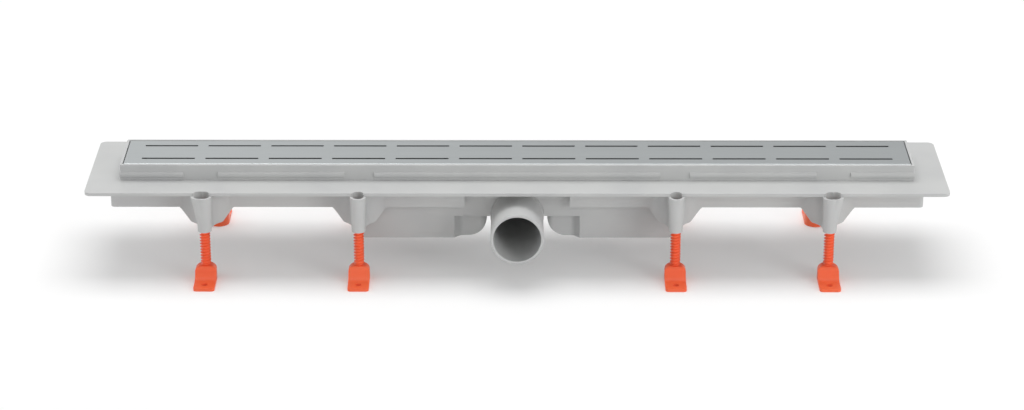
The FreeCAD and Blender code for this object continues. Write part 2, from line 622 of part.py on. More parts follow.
def make_channel_body():
    """Upper moulding: flange, collar, trough, skirt and leg sockets."""
    body = new_body("channel_body")
    add_flange_and_apron(body)
    add_sockets(body, "outer", OUTER_LEG, True)
    add_sockets(body, "inner", "<inner_leg>", False)
    add_trough(body)
    add_ledge(body)
    add_beads(body)
    add_outlet_gap(body)
    doc.recompute()
    height = float(sheet.get("flange_top")) + float(sheet.get("collar_height"))
    half_x = float(sheet.get("collar_length")) / 2
    half_y = float(sheet.get("collar_width")) / 2

    def outer_rim(edge, middle, tangent):
        outside = abs(abs(middle.y) - half_y) < 0.001 or abs(abs(middle.x) - half_x) < 0.001
        corner = abs(middle.x) > half_x - 1.4 and abs(middle.y) > half_y - 1.4
        return abs(middle.z - height) < 0.001 and (outside or corner)

    rounded(body, "rim_rounding", body.Tip, outer_rim, "<rim_round>")
    return body


def bowl_side_view(sketch, sign, inset, top):
    """Draw one bowl seen from the front, drawn in from its outside by an inset."""
    prefix = "-" if sign < 0 else ""
    near = f"{prefix}(<bowl_inner_end> + {inset})"
    far = f"{prefix}({BOWL_OUTSIDE_END} - {inset})"
    low = f"(<bowl_bottom> + {inset})"
    outline(sketch, [(near, low, f"(<bowl_round> - {inset})"), (far, low, f"(<bowl_foot_round> - {inset})"),
                     (far, top), (near, top)])


def bowl_plan(sketch, sign, wide, narrow, margin):
    """Draw what is left out beside the outlet, where the bowl is set back."""
    prefix = "-" if sign < 0 else ""
    for side in ("-", ""):
        outline(sketch, [
            (f"{prefix}(<bowl_inner_end> - 5)", f"{side}({narrow} - <bowl_plan_round> - 1)"),
            (f"{prefix}(<bowl_inner_end> - 1)", f"{side}({narrow} - <bowl_plan_round> - 1)"),
            (f"{prefix}(<bowl_inner_end> - 1)", f"{side}{narrow}", "<bowl_plan_round>"),
            (f"{prefix}(<recess_start> - {margin})", f"{side}{narrow}", "<recess_round>"),
            (f"{prefix}(<recess_end> - {margin})", f"{side}{wide}"),
            (f"{prefix}(<recess_end> - {margin})", f"{side}({wide} + 5)"),
            (f"{prefix}(<bowl_inner_end> - 5)", f"{side}({wide} + 5)")])


def make_trap_housing():
    """Lower moulding: plug plate, two bowls, outlet chamber, weirs and the outlet spigot."""
    body = new_body("trap_housing")
    for name, sign in (("left", -1), ("right", 1)):
        side = sketch_on(body, f"bowl_{name}_side_view", "XZ_Plane")
        bowl_side_view(side, sign, "0", "<box_bottom>")
        pad(body, f"bowl_{name}", side, f"(2 * {BOWL_Y})", both_ways=True)
        waist = sketch_on(body, f"bowl_{name}_waist_plan", "XY_Plane", "(<box_bottom> + 1)")
        bowl_plan(waist, sign, BOWL_Y, BOWL_NECK_Y, "0")
        pocket(body, f"bowl_{name}_waist", waist, "(<box_bottom> - <bowl_bottom> + 2)")
        if name == "left":
            plug = sketch_on(body, "plug_outline", "XY_Plane", "<box_bottom>")
            centred(plug, PLUG_X, PLUG_Y)
            pad(body, "plug", plug, "<wall>")
    chamber = sketch_on(body, "chamber_front_view", "XZ_Plane", PIPE_ROOT)
    circle(chamber, "0", "<box_bottom>", CHAMBER)
    pad(body, "chamber", chamber, f"({PIPE_ROOT} + {CHAMBER_END})", reverse=True)
    spigot = sketch_on(body, "spigot_front_view", "XZ_Plane", PIPE_MOUTH)
    circle(spigot, "0", "<box_bottom>", "<pipe_radius>")
    pad(body, "spigot", spigot, f"({PIPE_MOUTH} - {PIPE_ROOT} + <wall>)", reverse=True)
    opened = sketch_on(body, "chamber_top_plan", "XY_Plane", PLUG_TOP)
    rectangle(opened, f"(-{CHAMBER} - 1)", f"(-{INSIDE_Y})", f"({CHAMBER} + 1)", f"({INSIDE_Y})")
    pocket(body, "chamber_top_cut", opened, f"({CHAMBER} + 5)", reverse=True)
    weirs = sketch_on(body, "weir_plan", "XY_Plane", "<box_bottom>")
    rectangle(weirs, f"(<bowl_inner_end> - <wall>)", f"(-{PLUG_Y})", "<bowl_inner_end>", PLUG_Y)
    rectangle(weirs, "-<bowl_inner_end>", f"(-{PLUG_Y})", f"-(<bowl_inner_end> - <wall>)", PLUG_Y)
    pad(body, "weirs", weirs, "<weir_height>")
    for name, sign in (("left", -1), ("right", 1)):
        cut_bowl(body, name, sign)
    bore = sketch_on(body, "bore_front_view", "XZ_Plane", f"({PIPE_MOUTH} + 1)")
    circle(bore, "0", "<box_bottom>", "<pipe_bore>")
    pocket(body, "bore", bore, f"({PIPE_MOUTH} - {PIPE_ROOT} + <wall> + 1)")
    hollow = sketch_on(body, "chamber_hollow_front_view", "XZ_Plane", f"({PIPE_ROOT} - <wall>)")
    circle(hollow, "0", "<box_bottom>", f"({CHAMBER} - <wall>)")
    pocket(body, "chamber_hollow", hollow, f"({PIPE_ROOT} + {CHAMBER_END} - 2 * <wall>)")
    doc.recompute()
    mouth, outside = numbers(spigot, (PIPE_MOUTH, "<pipe_radius>"))

    def mouth_edge(edge, middle, tangent):
        round_edge = hasattr(edge.Curve, "Radius") and abs(edge.Curve.Radius - outside) < 0.001
        return round_edge and abs(middle.y + mouth) < 0.001

    base = body.Tip
    chamfer = body.newObject("PartDesign::Chamfer", "mouth_chamfer")
    chamfer.Base = (base, edges_where(base, mouth_edge))
    bind(chamfer, Size="<pipe_chamfer>")
    return body


def cut_bowl(body, name, sign):
    """Hollow one bowl: a wide part and a narrow part beside the outlet."""
    top = f"({PLUG_TOP} + 1)"
    prefix = "-" if sign < 0 else ""
    near = f"{prefix}(<bowl_inner_end> + <bowl_wall>)"
    middle = f"{prefix}(<recess_end> + <bowl_wall>)"
    far = f"{prefix}({BOWL_OUTSIDE_END} - <bowl_wall>)"
    low = "(<bowl_bottom> + <bowl_wall>)"
    wide = sketch_on(body, f"bowl_{name}_wide_hollow_view", "XZ_Plane")
    outline(wide, [(middle, low), (far, low, "(<bowl_foot_round> - <bowl_wall>)"), (far, top), (middle, top)])
    pocket(body, f"bowl_{name}_wide_hollow", wide, f"(2 * {BOWL_INSIDE_Y})", both_ways=True)
    narrow = sketch_on(body, f"bowl_{name}_narrow_hollow_view", "XZ_Plane")
    outline(narrow, [(near, low, "(<bowl_round> - <bowl_wall>)"), (f"{middle} + {prefix or '+'}1", low),
                     (f"{middle} + {prefix or '+'}1", top), (near, top)])
    pocket(body, f"bowl_{name}_narrow_hollow", narrow, f"(2 * {BOWL_NECK_INSIDE_Y})", both_ways=True)


def make_cover():
    """Stainless cover: a folded tray with two rows of slots."""
    body = new_body("cover_grate")
    sheet_top = sketch_on(body, "tray_outline", "XY_Plane", LEDGE)
    centred(sheet_top, COVER_X, COVER_Y)
    tray = pad(body, "tray", sheet_top, "<ledge_depth>")
    doc.recompute()
    top = tray.Shape.BoundBox.ZMax

    def top_edge(edge, middle, tangent):
        return abs(middle.z - top) < 0.001

    rounded(body, "bend", tray, top_edge, "<cover_bend>")
    inside = sketch_on(body, "tray_inside_outline", "XY_Plane", LEDGE)
    centred(inside, f"({COVER_X} - <cover_thickness>)", f"({COVER_Y} - <cover_thickness>)")
    pocket(body, "tray_inside", inside, "(<ledge_depth> - <cover_thickness>)", reverse=True)
    corners = sketch_on(body, "corner_relief_plan", "XY_Plane", LEDGE)
    relief = "(<cover_thickness> + 0.4)"
    for x_sign in ("-", ""):
        for y_sign in ("-", ""):
            outline(corners, [(f"{x_sign}({COVER_X} + 1)", f"{y_sign}({COVER_Y} - {relief})"),
                              (f"{x_sign}({COVER_X} - {relief})", f"{y_sign}({COVER_Y} - {relief})"),
                              (f"{x_sign}({COVER_X} - {relief})", f"{y_sign}({COVER_Y} + 1)"),
                              (f"{x_sign}({COVER_X} + 1)", f"{y_sign}({COVER_Y} + 1)")])
    pocket(body, "corner_relief", corners, "(<ledge_depth> - <cover_thickness>)", reverse=True)
    slot = sketch_on(body, "slot_outline", "XY_Plane", f"({RIM} + 1)")
    first = f"(-({SLOT_COUNT} - 1) / 2 * <slot_pitch>)"
    for sign in ("-", ""):
        rectangle(slot, f"({first} - <slot_length> / 2)", f"({sign}<row_spacing> / 2 - <slot_width> / 2)",
                  f"({first} + <slot_length> / 2)", f"({sign}<row_spacing> / 2 + <slot_width> / 2)")
    first_pair = pocket(body, "first_slots", slot, "(<cover_thickness> + 2)")
    rows = body.newObject("PartDesign::LinearPattern", "slot_rows")
    rows.Originals = [first_pair]
    rows.Direction = (mirror_plane(body, "X_Axis"), [""])
    rows.Mode = "Spacing"
    bind(rows, Occurrences=SLOT_COUNT, Offset="<slot_pitch>")
    body.Tip = rows
    return body


def make_insert():
    """Trap insert: cover plate, two baffles that dip into the bowls, posts and a finger grip."""
    body = new_body("trap_insert")
    side = sketch_on(body, "insert_side_view", "XZ_Plane")
    under = "(<insert_top> - <insert_wall>)"
    inner = f"({INSERT_X} - <insert_wall>)"
    outline(side, [(f"-{INSERT_X}", "<insert_top>"), (f"-{INSERT_X}", "<baffle_bottom>"),
                   (f"-{inner}", "<baffle_bottom>"), (f"-{inner}", under, "<insert_wall>"),
                   (inner, under, "<insert_wall>"), (inner, "<baffle_bottom>"),
                   (INSERT_X, "<baffle_bottom>"), (INSERT_X, "<insert_top>")])
    pad(body, "insert_profile", side, f"(2 * {INSERT_Y})", both_ways=True)
    posts = sketch_on(body, "post_plan", "XY_Plane", WEIR_TOP)
    for x_sign in ("-", ""):
        for y_sign in ("-", ""):
            near_x = "(<bowl_inner_end> - <wall>)"
            outline(posts, [(f"{x_sign}{near_x}", f"{y_sign}({INSERT_Y} - <insert_post>)"),
                            (f"{x_sign}({near_x} + <insert_post>)", f"{y_sign}({INSERT_Y} - <insert_post>)"),
                            (f"{x_sign}({near_x} + <insert_post>)", f"{y_sign}{INSERT_Y}"),
                            (f"{x_sign}{near_x}", f"{y_sign}{INSERT_Y}")])
    pad(body, "posts", posts, f"(<insert_top> - <insert_wall> / 2 - {WEIR_TOP})")
    grip = sketch_on(body, "grip_view", "YZ_Plane")
    half = "(<grip_width> / 2)"
    hole = "(<grip_width> / 2 - <grip_thickness>)"
    top = "(<insert_top> + <grip_height>)"
    base = "(<insert_top> - <insert_wall> / 2)"
    outline(grip, [(f"-{half}", base), (f"-{half}", top, "8"), (half, top, "8"), (half, base),
                   (hole, base), (hole, f"({top} - <grip_thickness>)", "4"),
                   (f"-{hole}", f"({top} - <grip_thickness>)", "4"), (f"-{hole}", base)])
    pad(body, "grip", grip, "<grip_thickness>", both_ways=True)
    return body


def make_seal():
    """Rubber edge seal of the insert: two long strips joined by a frame round each baffle."""
    body = new_body("insert_seal")
    wide = f"({INSIDE_Y} - <seal_clearance>)"
    narrow = f"({BOWL_INSIDE_Y} - <seal_clearance>)"
    low = "(<baffle_bottom> - <seal_thickness>)"
    step = f"({PLUG_TOP} + <seal_clearance>)"
    top = "(<insert_top> + <seal_lip>)"
    strip_low = "(<insert_top> - <insert_wall> - <seal_lip>)"
    for name, start in (("left", f"(-{INSERT_X} - <seal_lip>)"),
                        ("right", f"({INSERT_X} - <insert_wall> - <seal_lip>)")):
        frame = sketch_on(body, f"{name}_frame_view", "YZ_Plane", start)
        outline(frame, [(f"-{wide}", top), (f"-{wide}", step), (f"-{narrow}", step), (f"-{narrow}", low),
                        (narrow, low), (narrow, step), (wide, step), (wide, top), (INSERT_Y, top),
                        (INSERT_Y, "<baffle_bottom>"), (f"-{INSERT_Y}", "<baffle_bottom>"), (f"-{INSERT_Y}", top)])
        pad(body, f"{name}_frame", frame, "(<insert_wall> + 2 * <seal_lip>)")
        if name == "left":
            strips = sketch_on(body, "strip_section", "YZ_Plane", f"(-{INSERT_X})")
            rectangle(strips, INSERT_Y, strip_low, wide, top)
            rectangle(strips, f"-{wide}", strip_low, f"-{INSERT_Y}", top)
            pad(body, "strips", strips, "<insert_length>")
    return body


def make_rod(name, across, along):
    """Threaded rod at its crest size, with the neck and head that snap into the foot."""
    body = new_body(name)
    section = sketch_on(body, f"{name}_section", "XZ_Plane")
    shoulder = "(<foot_height> + <journal_play>)"
    neck_low = "(<foot_height> - <neck_length>)"
    head_low = f"({neck_low} - <head_length>)"
    outline(section, [("0", head_low), ("<journal_head>", head_low), ("<journal_head>", neck_low),
                      ("<journal_radius>", neck_low), ("<journal_radius>", shoulder),
                      ("<thread_radius>", shoulder),
                      ("<thread_radius>", "(<rod_top> - <rod_chamfer>)"),
                      ("(<thread_radius> - <rod_chamfer>)", "<rod_top>"), ("0", "<rod_top>")])
    turned(body, f"{name}_turned", section)
    bind(body, Placement__Base__x=across, Placement__Base__y=along)
    return body


def make_foot(name, across, along, turn):
    """Foot: round heel, boss with rounded shoulders, toe with a screw hole and the rod's snap seat."""
    body = new_body(name)
    half = "(<foot_width> / 2)"
    plan = sketch_on(body, f"{name}_plan", "XY_Plane")
    outline(plan, [(f"-{half}", "-<foot_reach>", "<toe_corner>"), (half, "-<foot_reach>", "<toe_corner>"),
                   (half, half, f"({half} - 0.01)"), (f"-{half}", half, f"({half} - 0.01)")])
    block = pad(body, f"{name}_block", plan, "<foot_height>")
    side = sketch_on(body, f"{name}_side_view", "YZ_Plane")
    above = "(<foot_height> + 1)"
    outline(side, [("-(<foot_reach> + 1)", above), ("-(<foot_reach> + 1)", "<foot_plate>"),
                   ("-(<foot_front> + <foot_slope>)", "<foot_plate>", "<foot_sweep>"),
                   ("-<foot_front>", above)])
    pocket(body, f"{name}_toe_cut", side, "(<foot_width> + 2)", both_ways=True)
    doc.recompute()
    top = float(sheet.get("foot_height"))

    def boss_edge(edge, middle, tangent):
        return abs(middle.z - top) < 0.001 and abs(tangent.z) < 0.001

    rounded(body, f"{name}_shoulders", body.Tip, boss_edge, "<foot_shoulder>")
    hole = sketch_on(body, f"{name}_hole_plan", "XY_Plane", "(<foot_plate> + 1)")
    circle(hole, "0", "-<screw_place>", "(<screw_hole> / 2)")
    pocket(body, f"{name}_hole", hole, "(<foot_plate> + 2)")
    seat = sketch_on(body, f"{name}_seat_section", "XZ_Plane")
    neck = "(<journal_radius> + <journal_fit>)"
    room = "(<journal_head> + <journal_play>)"
    neck_low = "(<foot_height> - <neck_length>)"
    floor = f"({neck_low} - <head_length> - <journal_play>)"
    ceiling = f"({neck_low} + <journal_play>)"
    outline(seat, [("0", floor), (room, floor), (room, ceiling), (neck, ceiling), (neck, above), ("0", above)])
    grooved(body, f"{name}_seat", seat)
    bind(body, Placement__Base__x=across, Placement__Base__y=along)
    body.Placement.Rotation = FreeCAD.Rotation(FreeCAD.Vector(0, 0, 1), turn)
    return body


def make_legs():
    """Eight legs: a rod and a foot each, with the toes pointing away from the channel."""
    pieces = []
    for side, y_sign in SIDES:
        for place, x_sign, leg in PLACES:
            across = f"({x_sign} * {leg})"
            along = f"({y_sign} * {LEG_ROW})"
            pieces.append(make_rod(f"leg_rod_{side}_{place}", across, along))
            pieces.append(make_foot(f"leg_foot_{side}_{place}", across, along, 0 if y_sign < 0 else 180))
    return pieces


def check_and_export(pieces):
    """Check every object's state and every solid, then write one STEP file per piece."""
    doc.recompute()
    for item in doc.Objects:
        if "Invalid" in item.State or "Error" in item.State:
            raise RuntimeError(f"{item.Label} failed: {item.State}")
    for piece in pieces:
        shape = piece.Shape
        if shape.isNull() or not shape.isValid() or len(shape.Solids) != 1:
            raise RuntimeError(f"{piece.Label} isn't one valid solid")
    os.makedirs("parts", exist_ok=True)
    for piece in pieces:
        piece.Shape.exportStep(f"parts/{piece.Label}.step")
        print(piece.Label, round(piece.Shape.Volume, 1))


check_and_export([make_channel_body(), make_trap_housing(), make_insert(), make_seal(), make_cover(),
                  *make_legs()])
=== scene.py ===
"""Looks of a moulded shower channel with a slotted stainless cover and eight screw-adjusted feet.

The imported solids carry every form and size. This script gives them their finishes, replaces each
leg's plain rod by a rod with a real thread, and sets up a plain studio round the channel.
"""

import logging
import math
from dataclasses import dataclass
from enum import Enum

import bpy
from mathutils import Euler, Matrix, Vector


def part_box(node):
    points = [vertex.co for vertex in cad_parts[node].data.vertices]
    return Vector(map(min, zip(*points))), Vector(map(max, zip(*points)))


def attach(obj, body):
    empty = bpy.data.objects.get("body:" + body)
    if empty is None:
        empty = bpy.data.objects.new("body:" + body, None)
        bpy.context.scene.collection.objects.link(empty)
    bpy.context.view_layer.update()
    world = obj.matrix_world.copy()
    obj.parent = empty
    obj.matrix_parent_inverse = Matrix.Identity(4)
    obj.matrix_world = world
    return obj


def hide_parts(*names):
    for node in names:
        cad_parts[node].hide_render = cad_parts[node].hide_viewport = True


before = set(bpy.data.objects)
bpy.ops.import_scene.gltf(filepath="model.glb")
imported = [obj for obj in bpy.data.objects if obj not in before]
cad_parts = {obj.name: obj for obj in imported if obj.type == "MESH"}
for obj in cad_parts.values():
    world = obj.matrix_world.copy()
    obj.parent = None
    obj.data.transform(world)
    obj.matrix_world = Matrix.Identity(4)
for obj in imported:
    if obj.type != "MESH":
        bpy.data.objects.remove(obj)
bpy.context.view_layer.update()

MM = 0.001
WHITE = (1.0, 1.0, 1.0, 1.0)
LOG = logging.getLogger("channel_drain")
Amount = float | bpy.types.NodeSocket


class Side(Enum):
    """The two long sides of the channel, as they are named in the legs' node names."""

    FRONT = "front"
    REAR = "rear"


class Place(Enum):
    """The four leg places along one side."""

    OUTER_LEFT = "outer_left"
    INNER_LEFT = "inner_left"
    INNER_RIGHT = "inner_right"
    OUTER_RIGHT = "outer_right"


def linear(hex_colour: str) -> tuple[float, float, float, float]:
    """Turn an sRGB hex colour into linear RGBA.

    Args:
        hex_colour: Six hexadecimal digits, with or without a leading hash.

    Returns:
        The linear colour with an alpha of one.
    """
    digits = hex_colour.lstrip("#")
    channels = []
    for start in (0, 2, 4):
        value = int(digits[start:start + 2], 16) / 255
        channels.append(value / 12.92 if value <= 0.04045 else ((value + 0.055) / 1.055) ** 2.4)
    return (channels[0], channels[1], channels[2], 1.0)


def add_node(tree: bpy.types.NodeTree, kind: str, settings: dict | None = None,
             inputs: dict | None = None) -> bpy.types.Node:
    """Add a node with its settings, constant inputs and incoming links.

    Args:
        tree: Shader or geometry tree that takes the node.
        kind: Blender's name of the node type.
        settings: Properties of the node itself.
        inputs: Input name or index, with a constant or an output socket to link from.

    Returns:
        The new node.
    """
    node = tree.nodes.new(kind)
    for name, value in (settings or {}).items():
        setattr(node, name, value)
    for name, value in (inputs or {}).items():
        if isinstance(value, bpy.types.NodeSocket):
            tree.links.new(value, node.inputs[name])
        else:
            node.inputs[name].default_value = value
    return node


def add_noise(tree: bpy.types.NodeTree, place: bpy.types.NodeSocket, size_mm: float,
              detail: float = 2.0, roughness: float = 0.5) -> bpy.types.NodeSocket:
    """Add a noise pattern of a real size.

    Args:
        tree: Shader tree that takes the pattern.
        place: The place in metres.
        size_mm: Size of the pattern's broadest marks.
        detail: How many finer layers lie over them.
        roughness: How strong the finer layers are.

    Returns:
        The pattern, from zero to one.
    """
    noise = add_node(tree, "ShaderNodeTexNoise", {"noise_dimensions": "3D"},
                     {"Vector": place, "Scale": 1 / (size_mm * MM), "Detail": detail,
                      "Roughness": roughness})
    return noise.outputs["Fac"]


def add_range(tree: bpy.types.NodeTree, value: bpy.types.NodeSocket, given: tuple[float, float],
              wanted: tuple[float, float], interpolation: str = "LINEAR") -> bpy.types.NodeSocket:
    """Stretch a value from one range to another, held to its ends.

    Args:
        tree: Shader or geometry tree that takes the step.
        value: The value to stretch.
        given: Ends of the range that it comes in.
        wanted: Ends of the range that it goes to.
        interpolation: Blender's name of the way between the ends.

    Returns:
        The stretched value.
    """
    step = add_node(tree, "ShaderNodeMapRange", {"interpolation_type": interpolation},
                    {"Value": value, "From Min": given[0], "From Max": given[1],
                     "To Min": wanted[0], "To Max": wanted[1]})
    return step.outputs["Result"]


def add_blend(tree: bpy.types.NodeTree, share: bpy.types.NodeSocket, first: str,
              second: str) -> bpy.types.NodeSocket:
    """Blend two colours.

    Args:
        tree: Shader tree that takes the blend.
        share: Share of the second colour.
        first: First sRGB hex colour.
        second: Second sRGB hex colour.

    Returns:
        The blended colour.
    """
    first_colour, second_colour, blended = 6, 7, 2  # the Mix node's sockets in its colour mode
    blend = add_node(tree, "ShaderNodeMix", {"data_type": "RGBA"},
                     {"Factor": share, first_colour: linear(first), second_colour: linear(second)})
    return blend.outputs[blended]


def add_bump(tree: bpy.types.NodeTree, height: bpy.types.NodeSocket, strength: float,
             depth_mm: float) -> bpy.types.NodeSocket:
    """Raise a surface by a pattern.

    Args:
        tree: Shader tree that takes the bump.
        height: The pattern, from zero to one.
        strength: Share of the effect.
        depth_mm: Height from the pattern's lowest to its highest point.

    Returns:
        The bumped normal.
    """
    bump = add_node(tree, "ShaderNodeBump", None,
                    {"Height": height, "Strength": strength, "Distance": depth_mm * MM})
    return bump.outputs["Normal"]


def seen_by(tree: bpy.types.NodeTree, *rays: str) -> bpy.types.NodeSocket:
    """Tell the named kinds of ray from all others.

    Args:
        tree: Shader tree that takes the test.
        rays: Blender's names of the kinds of ray, one or more.

    Returns:
        One for a ray of a named kind, and zero for any other.
    """
    path = add_node(tree, "ShaderNodeLightPath").outputs
    seen = path[rays[0]]
    for ray in rays[1:]:
        seen = add_node(tree, "ShaderNodeMath", {"operation": "MAXIMUM"}, {0: seen, 1: path[ray]}).outputs[0]
    return seen


def blank_material(name: str) -> tuple[bpy.types.Material, bpy.types.NodeTree, bpy.types.NodeSocket]:
    """Make a node material that holds only the place on the object.

    Args:
        name: The real material's name.

    Returns:
        The material, its node tree and the place on the object, in metres.
    """
    material = bpy.data.materials.new(name)
    material.use_nodes = True
    tree = material.node_tree
    tree.nodes.clear()
    return material, tree, add_node(tree, "ShaderNodeTexCoord").outputs["Object"]


def add_surface(tree: bpy.types.NodeTree, inputs: dict) -> None:
    """Add the shader of a solid surface and show it.

    Args:
        tree: Shader tree that takes the surface.
        inputs: Inputs of the principled shader, with a constant or an output socket to link from.
    """
    shader = add_node(tree, "ShaderNodeBsdfPrincipled", None, inputs)
    add_node(tree, "ShaderNodeOutputMaterial", None, {"Surface": shader.outputs["BSDF"]})


def dress(node: str, material: bpy.types.Material) -> None:
    """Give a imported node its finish.

    Args:
        node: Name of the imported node.
        material: The finish.
    """
    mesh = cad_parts[node].data
    mesh.materials.clear()
    mesh.materials.append(material)
    LOG.info("%s is finished in %s", node, material.name)


@dataclass(frozen=True)
class MouldedPlastic:
    """Injection-moulded plastic: satin, with a fine spark-eroded grain and faint flow marks."""

    name: str
    colour: str
    shade: str
    roughness: float = 0.46
    gloss_spread: tuple[float, float] = (0.05, 0.07)
    grain_mm: float = 0.9  # the real grain is about 0.2 mm; it is drawn this coarse so that it shows
    grain_height_mm: float = 0.012
    grain_strength: float = 0.5
    flow_mm: float = 60.0
    flow_contrast: tuple[float, float] = (0.35, 0.65)
    ior: float = 1.49

    def build(self) -> bpy.types.Material:
        """Build the material; its colour drifts a little along the flow of the melt.

        Returns:
            The material.
        """
        material, tree, place = blank_material(self.name)
        flow = add_noise(tree, place, self.flow_mm)
        grain = add_noise(tree, place, self.grain_mm, detail=3.0, roughness=0.6)
        drift = add_range(tree, flow, self.flow_contrast, (0.0, 1.0))
        smoother, rougher = self.gloss_spread
        satin = add_range(tree, grain, (0.0, 1.0), (self.roughness - smoother, self.roughness + rougher))
        add_surface(tree, {"Base Color": add_blend(tree, drift, self.colour, self.shade),
                           "Roughness": satin, "IOR": self.ior,
                           "Normal": add_bump(tree, grain, self.grain_strength, self.grain_height_mm)})
        return material


@dataclass(frozen=True)
class BrushedStainless:
    """Stainless sheet, brushed along its length: fine streaks that draw reflections out sideways."""

    name: str = "brushed stainless steel"
    colour: str = "#BCC0C1"
    shade: str = "#A9AEAF"
    roughness: float = 0.34
    gloss_spread: float = 0.06
    streak_mm: float = 0.6  # the real scratches are about 0.1 mm apart; drawn wider so that they show
    streak_depth_mm: float = 0.02
    streak_strength: float = 0.35
    broad_mm: float = 25 / 3
    stretch: float = 70.0

    def build(self) -> bpy.types.Material:
        """Build the material; the streaks vary its gloss, its height and a little of its colour.

        Returns:
            The material.
        """
        material, tree, place = blank_material(self.name)
        drawn = add_node(tree, "ShaderNodeMapping", {"vector_type": "POINT"},
                         {"Vector": place, "Scale": (1 / self.stretch, 1.0, 1.0)}).outputs["Vector"]
        streaks = add_noise(tree, drawn, self.streak_mm, detail=4.0, roughness=0.65)
        broad = add_noise(tree, drawn, self.broad_mm)
        gloss = add_range(tree, broad, (0.0, 1.0),
                          (self.roughness - self.gloss_spread, self.roughness + self.gloss_spread))
        add_surface(tree, {"Base Color": add_blend(tree, streaks, self.colour, self.shade),
                           "Metallic": 1.0, "Roughness": gloss,
                           "Normal": add_bump(tree, streaks, self.streak_strength, self.streak_depth_mm)})
        return material


@dataclass(frozen=True)
class MouldedRubber:
    """Black EPDM edge seal: matt, with a faint bloom that lifts the highlights to grey."""

    name: str = "EPDM rubber"
    colour: str = "#1C1D1E"
    bloom: str = "#2B2C2D"
    bloom_mm: float = 4.0
    bloom_height_mm: float = 0.05
    bloom_strength: float = 0.3
    roughness: float = 0.78
    ior: float = 1.52

    def build(self) -> bpy.types.Material:
        """Build the material; the bloom is a soft blotchy veil.

        Returns:
            The material.
        """
        material, tree, place = blank_material(self.name)
        veil = add_noise(tree, place, self.bloom_mm, detail=3.0)
        add_surface(tree, {"Base Color": add_blend(tree, veil, self.colour, self.bloom),
                           "Roughness": self.roughness, "IOR": self.ior,
                           "Normal": add_bump(tree, veil, self.bloom_strength, self.bloom_height_mm)})
        return material


@dataclass(frozen=True)
class StudioPaper:
    """Pale seamless paper: it shows as white and still takes the channel's soft shadow."""

    name: str = "seamless studio paper"
    colour: str = "#F0F0F0"
    glow: float = 0.13
    tooth_mm: float = 2.0
    tooth_height_mm: float = 0.02
    tooth_strength: float = 0.1

    def build(self) -> bpy.types.Material:
        """Build the material; what the camera and reflections see is lifted towards white.

        Returns:
            The material.
        """
        material, tree, place = blank_material(self.name)
        tooth = add_noise(tree, place, self.tooth_mm)
        paper = add_node(tree, "ShaderNodeBsdfDiffuse", None,
                         {"Color": linear(self.colour),
                          "Normal": add_bump(tree, tooth, self.tooth_strength, self.tooth_height_mm)})
        seen = seen_by(tree, "Is Camera Ray", "Is Glossy Ray", "Is Transmission Ray")
        lift = add_node(tree, "ShaderNodeMath", {"operation": "MULTIPLY"}, {0: seen, 1: self.glow})
        light = add_node(tree, "ShaderNodeEmission", None, {"Color": WHITE, "Strength": lift.outputs[0]})
        both = add_node(tree, "ShaderNodeAddShader", None,
                        {0: paper.outputs["BSDF"], 1: light.outputs["Emission"]})
        add_node(tree, "ShaderNodeOutputMaterial", None, {"Surface": both.outputs["Shader"]})
        return material


@dataclass(frozen=True)
class Softbox:
    """A rectangular studio lamp, in metres and watts, that faces its target."""

    name: str
    place: tuple[float, float, float]
    size: tuple[float, float]
    power: float
    target: tuple[float, float, float]

    def build(self) -> None:
        """Hang the lamp."""
        lamp = bpy.data.lights.new(self.name, "AREA")
        lamp.shape = "RECTANGLE"
        lamp.size, lamp.size_y = self.size
        lamp.energy = self.power
        holder = bpy.data.objects.new(self.name, lamp)
        holder.location = self.place
        way = Vector(self.target) - Vector(self.place)
        holder.rotation_euler = way.to_track_quat("-Z", "Y").to_euler()
        bpy.context.scene.collection.objects.link(holder)


